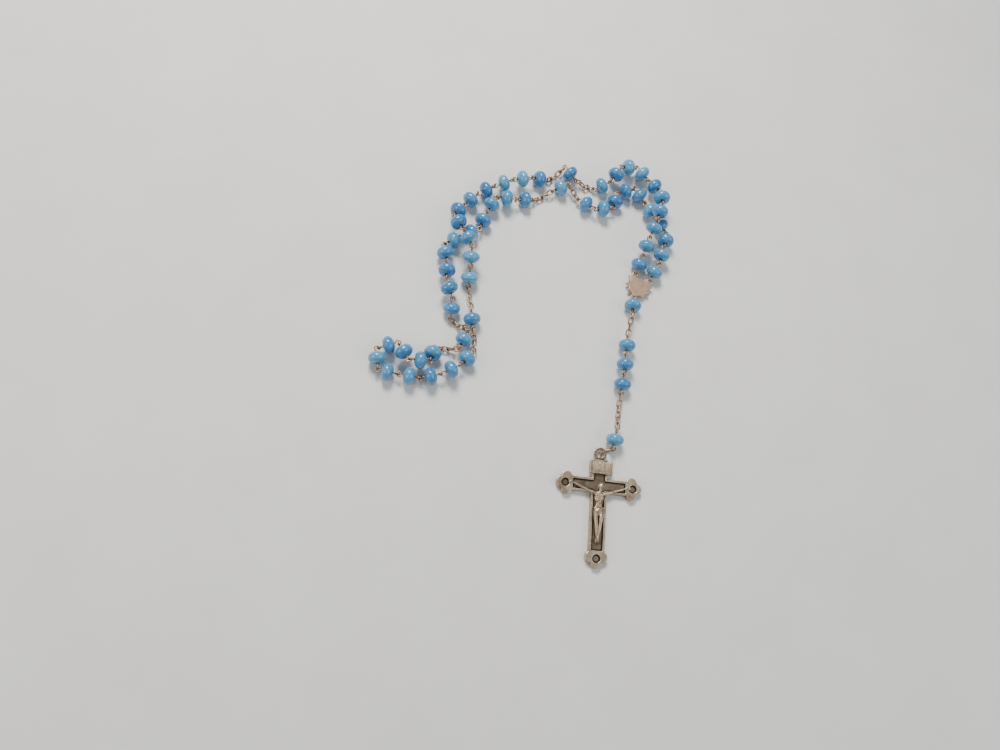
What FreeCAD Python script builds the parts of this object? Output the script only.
import FreeCAD, Part
import math
import os

# A five-decade rosary laid out on a flat surface. Millimetres, +Z up, the surface at Z = 0 and the
# origin at the middle of the object's footprint. Two strands of beads leave the medal's upper rings
# and meet in a hook at the far end; the pendant and the crucifix hang from the medal's lower ring.

Vector = FreeCAD.Vector
UP = Vector(0, 0, 1)

doc = FreeCAD.newDocument("rosary")

# ---------------------------------------------------------------- driving dimensions
SIZES = [
    ("bead_diameter", 6.0), ("bead_length", 4.1), ("bore_radius", 0.34),
    ("bore_mouth_radius", 0.8), ("bore_mouth_depth", 0.45),
    ("wire_radius", 0.25), ("eye_radius", 0.8), ("eye_span", 6.2),
    ("link_length", 3.3), ("link_width", 2.0),
    ("medal_thickness", 1.2), ("medal_eye_radius", 0.86), ("medal_eye_wire", 0.28),
    ("jump_ring_radius", 2.3), ("jump_ring_wire", 0.33),
    ("cross_thickness", 2.0), ("shaft_width", 5.2), ("arm_width", 4.6),
    ("cross_height", 34.4), ("cross_span", 28.4), ("arm_drop", 8.5),
    ("rim_width", 0.75), ("recess_depth", 0.5), ("lobe_radius", 1.75), ("lobe_offset", 1.9),
    ("bail_radius", 1.75), ("bail_width", 0.9), ("bail_thickness", 0.8), ("bail_height", 1.3),
    ("bail_rise", 1.9),
    ("plate_width", 8.2), ("plate_height", 4.4), ("plate_thickness", 0.8), ("plate_up", 5.7),
]
sheet = doc.addObject("Spreadsheet::Sheet", "sizes")
for row, (alias, value) in enumerate(SIZES, start=1):
    sheet.set("A%d" % row, alias)
    sheet.set("B%d" % row, str(value))
    sheet.setAlias("B%d" % row, alias)
doc.recompute()


def size(alias):
    return float(sheet.get(alias))


def bind(obj, **expressions):
    """Ties properties to spreadsheet cells; a bare alias stands for its cell."""
    for name, text in expressions.items():
        obj.setExpression(name, text)


# ---------------------------------------------------------------- the strands' lie on the surface
# A member is an eye pin with its bead, or one chain link. Neighbours meet at link points, where a
# flat eye and an upright eye are hooked through each other. A link point is the middle of the flat
# eye, and the upright eye's wire passes through it, so the two can turn about each other freely.
PIN, LINK = "pin", "link"
FLAT, UPRIGHT = "flat", "upright"
SLACK = 0.09                 # how far a span may be from its length, inside the eyes' clearance
MOST_BEND = 76.0             # degrees between neighbouring pins, seen from above
MOST_RISE = 0.33             # change of slope between neighbours
BEAD_ROOM = 0.12             # gap kept between beads that lie against each other
EYE_ROOM = 1.15              # radius kept clear around each link point
LINK_LIE = 1.1               # height of an eye or a link where it lies on the surface


def members(*runs):
    """[(kind, count), ...] written out as one list of kinds."""
    return [kind for kind, count in runs for _ in range(count)]


# The upper strand: decade 1, Our Father 1, decade 2, Our Father 2, then seven beads of decade 3.
UPPER = members((PIN, 10), (LINK, 4), (PIN, 1), (LINK, 4), (PIN, 10), (LINK, 4), (PIN, 1),
                (LINK, 4), (PIN, 7))
# The lower strand: decade 5, Our Father 4, decade 4, Our Father 3, then three beads of decade 3.
LOWER = members((PIN, 10), (LINK, 3), (PIN, 1), (LINK, 4), (PIN, 10), (LINK, 4), (PIN, 1),
                (LINK, 4), (PIN, 3))
# The pendant, from the medal down to the jump ring.
PENDANT = members((PIN, 1), (LINK, 4), (PIN, 3), (LINK, 6), (PIN, 1))

# Routes: link number, then X, Y and height of that link point, chosen by hand.
# MIDDLE is the middle of the footprint in the routes' own X and Y, and becomes the origin.
MIDDLE = (-0.42, 2.54)
UPPER_ROUTE = [
    (0, 38.3, 30.8, 1.6), (1, 40.6, 38.0, 3), (2, 43.0, 45.0, 3), (3, 46.6, 52.4, 5.5),
    (4, 50.6, 59.4, 5), (5, 48.0, 66.0, 4), (6, 43.4, 70.2, 4), (7, 40.5, 74.6, 3.5),
    (8, 35.6, 72.0, 3.5), (9, 31.0, 67.0, 3), (10, 24.4, 64.0, 3), (14, 18.2, 66.0, 3),
    (15, 13.4, 71.0, 3), (19, 7.0, 66.3, 3), (22, -14.4, 61.4, 3), (24, -25.6, 53.6, 4.5),
    (25, -28.0, 47.0, 6), (26, -24.2, 41.0, 5.5), (27, -21.0, 35.0, 3.5), (29, -21.7, 21.4, 3),
    (33, -21.8, 13.4, 3), (34, -20.1, 6.1, 3), (38, -19.6, -1.9, 3), (39, -24.4, -6.6, 3),
    (40, -30.6, -10.0, 3), (41, -37.6, -11.4, 3), (42, -44.4, -9.8, 3), (43, -50.2, -5.6, 3),
    (44, -48.8, 1.2, 3), (45, -42.2, -0.4, 3),
]
LOWER_ROUTE = [
    (0, 43.4, 28.4, 1.6), (1, 46.8, 34.6, 3), (2, 49.0, 41.3, 3), (3, 50.4, 48.0, 3),
    (4, 47.7, 54.4, 3), (5, 44.4, 60.6, 3), (6, 39.6, 65.6, 3), (7, 35.4, 61.0, 3),
    (8, 30.3, 56.6, 3), (9, 24.5, 55.0, 3), (10, 18.3, 58.6, 3), (13, 14.3, 64.0, 3),
    (14, 8.2, 61.0, 3), (18, 1.0, 57.0, 3), (20, -12.6, 55.0, 3), (22, -22.2, 46.9, 3),
    (23, -25.9, 41.0, 3), (24, -28.4, 34.6, 3), (25, -27.6, 28.0, 3), (26, -31.0, 21.4, 3),
    (27, -26.0, 16.0, 3), (28, -27.5, 9.0, 3), (32, -21.0, 4.4, 3), (33, -24.8, -1.8, 3),
    (37, -32.4, -1.0, 3), (38, -35.4, -7.0, 3), (39, -42.0, -7.6, 3), (40, -42.2, -0.4, 3),
]
PENDANT_ROUTE = [
    (0, 37.0, 21.6, 1.6), (1, 34.8, 14.9, 3), (5, 33.0, 5.8, 3), (8, 30.6, -15.1, 3),
    (14, 28.2, -27.4, 3), (15, 26.6, -33.2, 2.65),
]
# Link points that stay where the routes put them.
UPPER_HELD = [0, 10, 19, 29, 34, 38]
LOWER_HELD = [0, 10, 18, 28, 33, 37]
PENDANT_HELD = [0, 15]


def spread(route, count):
    """Straight stretches between the route's points, one point for each link."""
    points = []
    for (first, *low), (last, *high) in zip(route, route[1:]):
        for step in range(first, last):
            part = (step - first) / (last - first)
            points.append([a + (b - a) * part for a, b in zip(low, high)])
    points.append(list(route[-1][1:]))
    assert len(points) == count + 1
    return [[x - MIDDLE[0], y - MIDDLE[1], z] for x, y, z in points]


def gap_of(a, b):
    return math.sqrt(sum((p - q) ** 2 for p, q in zip(a, b)))


def between(a, b, part):
    return [p + (q - p) * part for p, q in zip(a, b)]


def pull(a, b, least, most):
    """Moves two points along their line until their distance is between the limits."""
    now = gap_of(a, b)
    goal = min(max(now, least), most)
    if now == goal or now < 1e-6:
        return
    for axis in range(3):
        step = (b[axis] - a[axis]) / now * (now - goal) / 2
        a[axis] += step
        b[axis] -= step


LINK_END = size("link_width") / 2 - size("wire_radius")        # radius of a link's rounded end
LINK_STRAIGHT = size("link_length") - 2 * size("wire_radius") - 2 * LINK_END
PIN_LENGTH = size("eye_radius") + size("eye_span")
LEAST_SKIP = math.cos(math.radians(MOST_BEND / 2)) * 2 * PIN_LENGTH    # across two bent pins


class Strand:
    """A run of members hooked end to end; points holds the link points."""

    def __init__(self, kinds, route, held):
        self.kinds = kinds
        self.points = spread(route, len(kinds))
        self.held = {index: list(self.points[index]) for index in held}
        self.starts = []
        start = UPRIGHT
        for kind in kinds:
            self.starts.append(start)
            if kind == LINK:
                start = FLAT if start == UPRIGHT else UPRIGHT
        # A pin starts with one kind of eye and ends with the other; a link lies one way throughout.

    def length(self, index):
        if self.kinds[index] == PIN:
            return PIN_LENGTH
        return LINK_STRAIGHT + (2 * LINK_END if self.starts[index] == UPRIGHT else 0.0)

    def bead_middle(self, index):
        """The bead sits midway between its pin's eyes."""
        offset = size("eye_radius") / 2 / PIN_LENGTH
        part = 0.5 + (offset if self.starts[index] == UPRIGHT else -offset)
        return between(self.points[index], self.points[index + 1], part)

    def settle(self, sink):
        """One step: down towards the surface, lengths kept, no sharp bends."""
        points = self.points
        for point in points:
            point[2] = max(LINK_LIE, point[2] - sink)
        for index, kind in enumerate(self.kinds):
            length = self.length(index)
            pull(points[index], points[index + 1], length - SLACK, length + SLACK)
            if self.kinds[index:index + 2] == [PIN, PIN]:
                pull(points[index], points[index + 2], LEAST_SKIP, 99.0)
            if kind == PIN:
                short = size("bead_diameter") / 2 - self.bead_middle(index)[2]
                for point in points[index:index + 2]:
                    point[2] += max(0.0, short)
        for index in range(1, len(points) - 1):
            before, after = self.length(index - 1), self.length(index)
            bend = ((points[index + 1][2] - points[index][2]) / after
                    - (points[index][2] - points[index - 1][2]) / before)
            excess = max(0.0, abs(bend) - MOST_RISE) * math.copysign(1.0, bend)
            lift = excess * before * after / (before + after) / 3
            points[index][2] += lift
            points[index - 1][2] -= lift
            points[index + 1][2] -= lift
        for index, place in self.held.items():
            points[index][:2] = place[:2]
        for index in (0, len(self.kinds)):
            if index in self.held:
                points[index][2] = self.held[index][2]


def balls(strand):
    """What takes up room: (member or link number, is it a bead, radius)."""
    bead_radius = size("bead_diameter") / 2 + BEAD_ROOM / 2
    beads = [(index, True, bead_radius) for index, kind in enumerate(strand.kinds) if kind == PIN]
    return beads + [(index, False, EYE_ROOM) for index in range(len(strand.points))]


def place_of(strand, ball):
    return strand.bead_middle(ball[0]) if ball[1] else strand.points[ball[0]]


def part_company(strands, pairs):
    """Pushes apart whatever two balls of the strands come too near."""
    for one, ball_a, two, ball_b in pairs:
        middle_a, middle_b = place_of(strands[one], ball_a), place_of(strands[two], ball_b)
        wanted = ball_a[2] + ball_b[2]
        now = gap_of(middle_a, middle_b)
        if now >= wanted or now < 1e-6:
            continue
        push = [(b - a) / now * (wanted - now) / 2 for a, b in zip(middle_a, middle_b)]
        for strand, ball, way in ((strands[one], ball_a, -1), (strands[two], ball_b, 1)):
            for point in strand.points[ball[0]:ball[0] + (2 if ball[1] else 1)]:
                for axis in range(3):
                    point[axis] += way * push[axis]


def at_shared_link(strand, ball):
    """True for what may meet at the link point where the two strands join."""
    return ball[0] >= len(strand.kinds) - 1


def close_pairs(strands, reach):
    """Ball pairs near enough to meet, leaving out a strand's own neighbours."""
    every = [(number, ball) for number, strand in enumerate(strands) for ball in balls(strand)]
    found = []
    for place, (one, ball_a) in enumerate(every):
        for two, ball_b in every[place + 1:]:
            if one == two and abs(ball_a[0] - ball_b[0]) <= 2:
                continue
            if one != two and at_shared_link(strands[one], ball_a):
                if at_shared_link(strands[two], ball_b):
                    continue
            now = gap_of(place_of(strands[one], ball_a), place_of(strands[two], ball_b))
            if now < ball_a[2] + ball_b[2] + reach:
                found.append((one, ball_a, two, ball_b))
    return found


def lay_down(strands, rounds=900, refresh=40, sink=0.03):
    pairs = []
    for turn in range(rounds):
        if turn % refresh == 0:
            pairs = close_pairs(strands, 3.0)
        part_company(strands, pairs)
        for strand in strands:
            strand.settle(sink if turn < rounds - 400 else 0.0)
        if len(strands) == 2:
            pull(strands[0].points[-2], strands[1].points[-2], LEAST_SKIP, 99.0)
            pull(strands[0].points[-1], strands[1].points[-1], 0.0, 0.0)


upper = Strand(UPPER, UPPER_ROUTE, UPPER_HELD)
lower = Strand(LOWER, LOWER_ROUTE, LOWER_HELD)
pendant = Strand(PENDANT, PENDANT_ROUTE, PENDANT_HELD)
lay_down([upper, lower])
lay_down([pendant])


# ---------------------------------------------------------------- the repeated pieces, one of each
def origin_plane(body, role):
    return next(item for item in body.Origin.OriginFeatures if item.Role == role)


def sketch_in(body, name, role):
    sketch = body.newObject("Sketcher::SketchObject", name)
    sketch.AttachmentSupport = (origin_plane(body, role), [""])
    sketch.MapMode = "FlatFace"
    return sketch


def make_bead():
    """An oblate glass bead about its own X axis, with a bore that opens out at both ends."""
    body = doc.addObject("PartDesign::Body", "bead_pattern")
    sketch = sketch_in(body, "bead_outline", "XY_Plane")
    half, bore = size("bead_length") / 2, size("bore_radius")
    mouth, depth = size("bore_mouth_radius"), size("bore_mouth_depth")
    top = Vector(0, size("bead_diameter") / 2, 0)
    corners = [Vector(-half, mouth, 0), Vector(-half + depth, bore, 0),
               Vector(half - depth, bore, 0), Vector(half, mouth, 0)]
    for start, end in zip(corners, corners[1:]):
        sketch.addGeometry(Part.LineSegment(start, end), False)
    sketch.addGeometry(Part.Arc(corners[3], top, corners[0]), False)
    turned = body.newObject("PartDesign::Revolution", "bead_turned")
    turned.Profile = sketch
    turned.ReferenceAxis = (sketch, ["H_Axis"])
    turned.Angle = 360
    return body


def make_ring(name, radius, wire, at=None, upright=True):
    """A wire ring: upright stands in the XZ plane, otherwise it lies in the XY plane."""
    ring = doc.addObject("Part::Torus", name)
    bind(ring, Radius1=radius, Radius2=wire)
    turn = FreeCAD.Rotation(Vector(1, 0, 0), 90) if upright else FreeCAD.Rotation()
    ring.Placement = FreeCAD.Placement(at or Vector(), turn)
    return ring


def fuse(name, shapes, label=None):
    joined = doc.addObject("Part::MultiFuse", name)
    joined.Shapes = shapes
    joined.Refine = True
    if label:
        joined.Label = label
    return joined


def make_pin():
    """An eye pin along X: an upright eye at -X, a flat eye at +X, and the stem through the bead."""
    half = size("eye_span") / 2
    upright_eye = make_ring("pin_eye_upright", "sizes.eye_radius", "sizes.wire_radius",
                            Vector(-half, 0, 0))
    flat_eye = make_ring("pin_eye_flat", "sizes.eye_radius", "sizes.wire_radius",
                         Vector(half, 0, 0), upright=False)
    stem = doc.addObject("Part::Cylinder", "pin_stem")
    bind(stem, Radius="0.86 * sizes.wire_radius", Height="sizes.eye_span - 2 * sizes.eye_radius")
    reach = size("eye_radius") - half
    stem.Placement = FreeCAD.Placement(Vector(reach, 0, 0), FreeCAD.Rotation(Vector(0, 1, 0), 90))
    return fuse("pin_pattern", [upright_eye, flat_eye, stem])


def make_link():
    """One oval chain link in the XY plane, its long way along X."""
    wire, half = size("wire_radius"), LINK_STRAIGHT / 2
    ends = []
    for name, at, turn in (("link_end_front", half, -90), ("link_end_back", -half, 90)):
        end = doc.addObject("Part::Torus", name)
        bind(end, Radius1="sizes.link_width / 2 - sizes.wire_radius", Radius2="sizes.wire_radius")
        end.Angle3 = 180
        spin = FreeCAD.Rotation(Vector(0, 0, 1), turn)
        end.Placement = FreeCAD.Placement(Vector(at, 0, 0), spin)
        ends.append(end)
    sides = []
    for name, way in (("link_side_left", 1), ("link_side_right", -1)):
        side = doc.addObject("Part::Cylinder", name)
        bind(side, Radius="sizes.wire_radius",
             Height="sizes.link_length - sizes.link_width")
        spin = FreeCAD.Rotation(Vector(0, 1, 0), 90)
        side.Placement = FreeCAD.Placement(Vector(-half, way * LINK_END, 0), spin)
        sides.append(side)
    return fuse("link_pattern", ends + sides)


bead_pattern = make_bead()
pin_pattern = make_pin()
link_pattern = make_link()
doc.recompute()


def facing(start, end, roll=0.0):
    """Rotation that takes X to the line from start to end and keeps Z as near up as it can be."""
    along = (Vector(*end) - Vector(*start)).normalize()
    side = UP.cross(along).normalize()
    up = along.cross(side)
    turn = FreeCAD.Rotation(along, side, up, "XYZ")
    return turn.multiply(FreeCAD.Rotation(Vector(1, 0, 0), roll))


def member_placement(strand, index):
    """Where a pin or a link goes; a pin that starts with its flat eye is turned end for end."""
    start, end = strand.points[index], strand.points[index + 1]
    turn = facing(start, end)
    if strand.kinds[index] == LINK:
        roll = 90 if strand.starts[index] == UPRIGHT else 0
        turn = turn.multiply(FreeCAD.Rotation(Vector(1, 0, 0), roll))
        return FreeCAD.Placement(Vector(*between(start, end, 0.5)), turn)
    if strand.starts[index] == FLAT:
        turn = turn.multiply(FreeCAD.Rotation(Vector(0, 0, 1), 180))
    return FreeCAD.Placement(Vector(*strand.bead_middle(index)), turn)


def placed(pattern, placement):
    copy = pattern.Shape.copy()
    copy.Placement = placement.multiply(copy.Placement)
    return copy


pieces = []


def lay_out(label, pattern, strand, first, count=1):
    """One node: copies of a pattern for a run of a strand's members, each its own solid."""
    solids = [placed(pattern, member_placement(strand, first + n)) for n in range(count)]
    node = doc.addObject("Part::Feature", label)
    node.Shape = Part.makeCompound(solids) if count > 1 else solids[0]
    node.Label = label
    pieces.append(node)
    return node


# Runs of a strand: name, first member, members in it.
UPPER_DECADES = [("1a", 0, 5), ("1b", 5, 5), ("2a", 19, 6), ("2b", 25, 4), ("3a", 38, 3), ("3b", 41, 4)]
LOWER_DECADES = [("5b", 0, 5), ("5a", 5, 5), ("4c", 18, 4), ("4b", 22, 4), ("4a", 26, 2),
                 ("3c", 37, 3)]
UPPER_SINGLES = [("1", 14), ("2", 33)]
LOWER_SINGLES = [("4", 13), ("3", 32)]
UPPER_CHAINS = [("1", 10, 4), ("2", 15, 4), ("3", 29, 4), ("4", 34, 4)]
LOWER_CHAINS = [("8", 10, 3), ("7", 14, 4), ("6", 28, 4), ("5", 33, 4)]

for strand, decades, singles, chains in ((upper, UPPER_DECADES, UPPER_SINGLES, UPPER_CHAINS),
                                         (lower, LOWER_DECADES, LOWER_SINGLES, LOWER_CHAINS)):
    for name, first, count in decades:
        lay_out("hail_beads_" + name, bead_pattern, strand, first, count)
        lay_out("hail_pins_" + name, pin_pattern, strand, first, count)
    for name, first in singles:
        lay_out("father_bead_" + name, bead_pattern, strand, first)
        lay_out("father_pin_" + name, pin_pattern, strand, first)
    for name, first, count in chains:
        lay_out("chain_" + name, link_pattern, strand, first, count)

PENDANT_BEADS = [("1", 0), ("2", 5), ("3", 6), ("4", 7), ("5", 14)]
for name, first in PENDANT_BEADS:
    lay_out("pendant_bead_" + name, bead_pattern, pendant, first)
    lay_out("pendant_pin_" + name, pin_pattern, pendant, first)
lay_out("pendant_chain_1", link_pattern, pendant, 1, 4)
lay_out("pendant_chain_2", link_pattern, pendant, 8, 6)


# ---------------------------------------------------------------- the medal
def make_medal():
    """A flat cast shield with rayed points, two eyes at its top and one at its foot."""
    thick = size("medal_thickness")
    left, right, foot = (Vector(*strand.points[0]) for strand in (upper, lower, pendant))
    across = Vector(right.x - left.x, right.y - left.y, 0)
    middle = (left + right) * 0.5
    half_gap = across.Length / 2
    turn = FreeCAD.Rotation(UP, math.degrees(math.atan2(across.y, across.x)))
    foot_at = turn.inverted().multVec(Vector(foot.x - middle.x, foot.y - middle.y, 0))
    body = doc.addObject("PartDesign::Body", "medal_plate")
    sketch = sketch_in(body, "medal_outline", "XY_Plane")
    # Tips and notches down the right-hand side, from the middle of the top edge to the foot.
    side = [(0.0, -0.4), (1.3, -1.1), (2.7, -0.7), (4.8, -1.6), (3.7, -3.5), (4.7, -5.0),
            (3.1, -5.7), (3.1, -7.3), (1.3, -7.2), (0.9, -8.2), (0.0, -8.3)]
    outline = side + [(-x, y) for x, y in side[-2:0:-1]]
    corners = [Vector(x, y, 0) for x, y in outline]
    for number, start in enumerate(corners):
        end = corners[(number + 1) % len(corners)]
        inward = (Vector(0, -3.8, 0) - (start + end) * 0.5).normalize() * 0.22
        sketch.addGeometry(Part.Arc(start, (start + end) * 0.5 + inward, end), False)
    pad = body.newObject("PartDesign::Pad", "medal_pad")
    pad.Profile = sketch
    bind(pad, Length="sizes.medal_thickness")
    pad.Midplane = True
    doc.recompute()
    eyes = []
    for name, at in (("medal_eye_left", Vector(-half_gap, 0, 0)),
                     ("medal_eye_right", Vector(half_gap, 0, 0)),
                     ("medal_eye_foot", foot_at)):
        eyes.append(make_ring(name, "sizes.medal_eye_radius", "sizes.medal_eye_wire", at,
                              upright=False))
        hole = doc.addObject("Part::Cylinder", name + "_hole")
        bind(hole, Radius="sizes.medal_eye_radius - sizes.medal_eye_wire / 2",
             Height="4 * sizes.medal_thickness")
        hole.Placement = FreeCAD.Placement(at - UP * 2 * thick, FreeCAD.Rotation())
        eyes.append(hole)
    plate = doc.addObject("Part::Cut", "medal_plate_bored")
    plate.Base = body
    holes = doc.addObject("Part::MultiFuse", "medal_holes")
    holes.Shapes = eyes[1::2]
    plate.Tool = holes
    medal = fuse("medal", [plate] + eyes[::2], label="medal")
    medal.Placement = FreeCAD.Placement(middle, turn)
    pieces.append(medal)
    return medal


medal = make_medal()


# ---------------------------------------------------------------- the jump ring and the crucifix
# The ring stands upright through the last pin's flat eye and round the crucifix's bail.
CROSS_TURN = -5.0            # degrees, how the crucifix lies
RING_SHIFT = 0.35            # how far beyond the ring's middle the bail's rim lies
last_eye = Vector(*pendant.points[-1])
bail_way = Vector(-0.92, -0.39, 0).normalize()
ring_middle = last_eye + bail_way * size("jump_ring_radius")
rim_middle = ring_middle + bail_way * RING_SHIFT
bail_middle = rim_middle + bail_way * size("bail_radius")
cross_turn = FreeCAD.Rotation(UP, CROSS_TURN)
cross_middle = bail_middle - cross_turn.multVec(
    Vector(0, size("arm_drop") + size("bail_rise"), 0))
cross_middle.z = 0
cross_place = FreeCAD.Placement(cross_middle, cross_turn)

jump_ring = doc.addObject("Part::Torus", "jump_ring")
bind(jump_ring, Radius1="sizes.jump_ring_radius", Radius2="sizes.jump_ring_wire")
jump_ring.Placement = FreeCAD.Placement(
    ring_middle, FreeCAD.Rotation(bail_way, UP, bail_way.cross(UP), "XYZ"))
jump_ring.Label = "jump_ring"
pieces.append(jump_ring)


def block(name, low, length, width, height):
    """A box from its lowest corner, its sides tied to cells or expressions."""
    box = doc.addObject("Part::Box", name)
    bind(box, Length=length, Width=width, Height=height)
    box.Placement = FreeCAD.Placement(low, FreeCAD.Rotation())
    return box


def disc(name, x, y, radius, height, z=0.0):
    round_piece = doc.addObject("Part::Cylinder", name)
    bind(round_piece, Radius=radius, Height=height)
    round_piece.Placement = FreeCAD.Placement(Vector(x, y, z), FreeCAD.Rotation())
    return round_piece


def make_cross():
    """Shaft and arms with trefoil ends, a sunk field inside a raised rim, and the bail on top."""
    thick, rim, sunk = size("cross_thickness"), size("rim_width"), size("recess_depth")
    shaft, arm, span = size("shaft_width"), size("arm_width"), size("cross_span")
    top, foot = size("arm_drop"), size("arm_drop") - size("cross_height")
    lobe, aside = size("lobe_radius"), size("lobe_offset")
    deep = "sizes.cross_thickness"
    solid = [
        block("cross_shaft", Vector(-shaft / 2, foot + lobe, 0), "sizes.shaft_width",
              "sizes.cross_height - sizes.lobe_radius", deep),
        block("cross_arms", Vector(lobe - span / 2, -arm / 2, 0),
              "sizes.cross_span - 2 * sizes.lobe_radius", "sizes.arm_width", deep),
    ]
    # Each end's three lobes: one at the tip and one each side, a little further in.
    for name, tip, way, across in (("left", Vector(-span / 2, 0), Vector(1, 0), Vector(0, 1)),
                                   ("right", Vector(span / 2, 0), Vector(-1, 0), Vector(0, 1)),
                                   ("foot", Vector(0, foot), Vector(0, 1), Vector(1, 0))):
        ends = [tip + way * lobe, tip + way * lobe * 1.95 + across * aside,
                tip + way * lobe * 1.95 - across * aside]
        for number, at in enumerate(ends):
            solid.append(disc("lobe_%s_%d" % (name, number), at.x, at.y, "sizes.lobe_radius", deep))
    plain = fuse("cross_plain", solid)
    field_z = thick - sunk
    field = [
        block("field_shaft", Vector(rim - shaft / 2, foot + lobe * 3.1, field_z),
              "sizes.shaft_width - 2 * sizes.rim_width",
              "sizes.cross_height - 3.1 * sizes.lobe_radius - sizes.rim_width", deep),
        block("field_arms", Vector(lobe * 3.1 - span / 2, rim - arm / 2, field_z),
              "sizes.cross_span - 6.2 * sizes.lobe_radius",
              "sizes.arm_width - 2 * sizes.rim_width", deep),
    ]
    for name, x, y in (("left", lobe * 1.7 - span / 2, 0), ("right", span / 2 - lobe * 1.7, 0),
                       ("foot", 0, foot + lobe * 1.7)):
        field.append(disc("field_" + name, x, y, "sizes.lobe_radius * 0.75", deep, field_z))
    cut = doc.addObject("Part::Cut", "cross_sunk")
    cut.Base = plain
    cut.Tool = fuse("cross_field", field)
    bail_y = top + size("bail_rise")
    bail_z = size("bail_height") - size("bail_thickness") / 2
    ring_out = disc("bail_outside", 0, bail_y, "sizes.bail_radius + sizes.bail_width / 2",
                    "sizes.bail_thickness", bail_z)
    ring_in = disc("bail_inside", 0, bail_y, "sizes.bail_radius - sizes.bail_width / 2",
                   "sizes.bail_thickness * 3", bail_z - size("bail_thickness"))
    bail = doc.addObject("Part::Cut", "cross_bail")
    bail.Base, bail.Tool = ring_out, ring_in
    return fuse("crucifix", [cut, bail], label="crucifix")


def make_title_plate():
    """The blank scroll above the figure: a plate with rolled ends."""
    wide, tall, thick = (size("plate_" + part) for part in ("width", "height", "thickness"))
    base = size("cross_thickness")
    middle = size("plate_up")
    plate = block("plate_field", Vector(-wide / 2 + 0.8, middle - tall / 2, base),
                  "sizes.plate_width - 1.6", "sizes.plate_height", "sizes.plate_thickness")
    rolls = []
    for name, x in (("left", 0.9 - wide / 2), ("right", wide / 2 - 0.9)):
        roll = doc.addObject("Part::Cylinder", "plate_roll_" + name)
        bind(roll, Radius="sizes.plate_thickness * 0.75", Height="sizes.plate_height * 0.84")
        roll.Placement = FreeCAD.Placement(
            Vector(x, middle + tall * 0.42, base + thick * 0.75), FreeCAD.Rotation(Vector(1, 0, 0), 90))
        rolls.append(roll)
    return fuse("title_plate", [plate] + rolls, label="title_plate")


# The figure's outline, right-hand side: neck, shoulder, arm, hand, chest, hip, knee and foot.
FIGURE_SIDE = [
    (0.0, -1.0), (0.5, -1.2), (0.6, -2.0), (1.6, -1.95), (4.9, -0.9), (8.6, 0.5), (10.0, 0.75),
    (10.2, 0.1), (8.8, -0.4), (5.2, -1.85), (2.3, -3.1), (1.65, -4.2), (1.2, -6.2), (1.75, -7.6),
    (1.7, -9.6), (1.35, -12.3), (0.9, -15.0), (0.65, -16.2), (0.7, -17.9), (0.0, -18.3),
]
FIGURE_THICK = 1.2           # how far the figure stands proud of the rim
HEAD_RADIUS = 1.05
HEAD_AT = (0.35, -0.45)


def make_corpus():
    """The figure in plain relief: a padded outline, the head, and a key in the sunk field."""
    base, sunk = size("cross_thickness"), size("recess_depth")
    body = doc.addObject("PartDesign::Body", "figure_relief")
    sketch = sketch_in(body, "figure_outline", "XY_Plane")
    outline = FIGURE_SIDE + [(-x, y) for x, y in FIGURE_SIDE[-2:0:-1]]
    corners = [Vector(x, y, 0) for x, y in outline]
    for number, start in enumerate(corners):
        end = corners[(number + 1) % len(corners)]
        sketch.addGeometry(Part.LineSegment(start, end), False)
    pad = body.newObject("PartDesign::Pad", "figure_pad")
    pad.Profile = sketch
    pad.Length = FIGURE_THICK
    body.Placement = FreeCAD.Placement(UP * base, FreeCAD.Rotation())
    head = doc.addObject("Part::Sphere", "figure_head")
    head.Radius = HEAD_RADIUS
    head.Placement = FreeCAD.Placement(
        Vector(*HEAD_AT, base - sunk + HEAD_RADIUS), FreeCAD.Rotation())
    key = block("figure_key", Vector(-1.2, -16.0, base - sunk), "2.4", "14",
                "sizes.recess_depth + 0.2")
    return fuse("corpus", [body, head, key], label="corpus")


crucifix = make_cross()
title_plate = make_title_plate()
corpus = make_corpus()
for piece in (crucifix, title_plate, corpus):
    piece.Placement = cross_place
    pieces.append(piece)


# ---------------------------------------------------------------- checks and files
doc.recompute()
for item in doc.Objects:
    assert "Invalid" not in item.State and "Error" not in item.State, item.Name
os.makedirs("parts", exist_ok=True)
for piece in pieces:
    assert not piece.Shape.isNull() and piece.Shape.isValid(), piece.Label
    assert piece.Shape.Solids, piece.Label
for piece in pieces:
    piece.Shape.exportStep("parts/%s.step" % piece.Label)
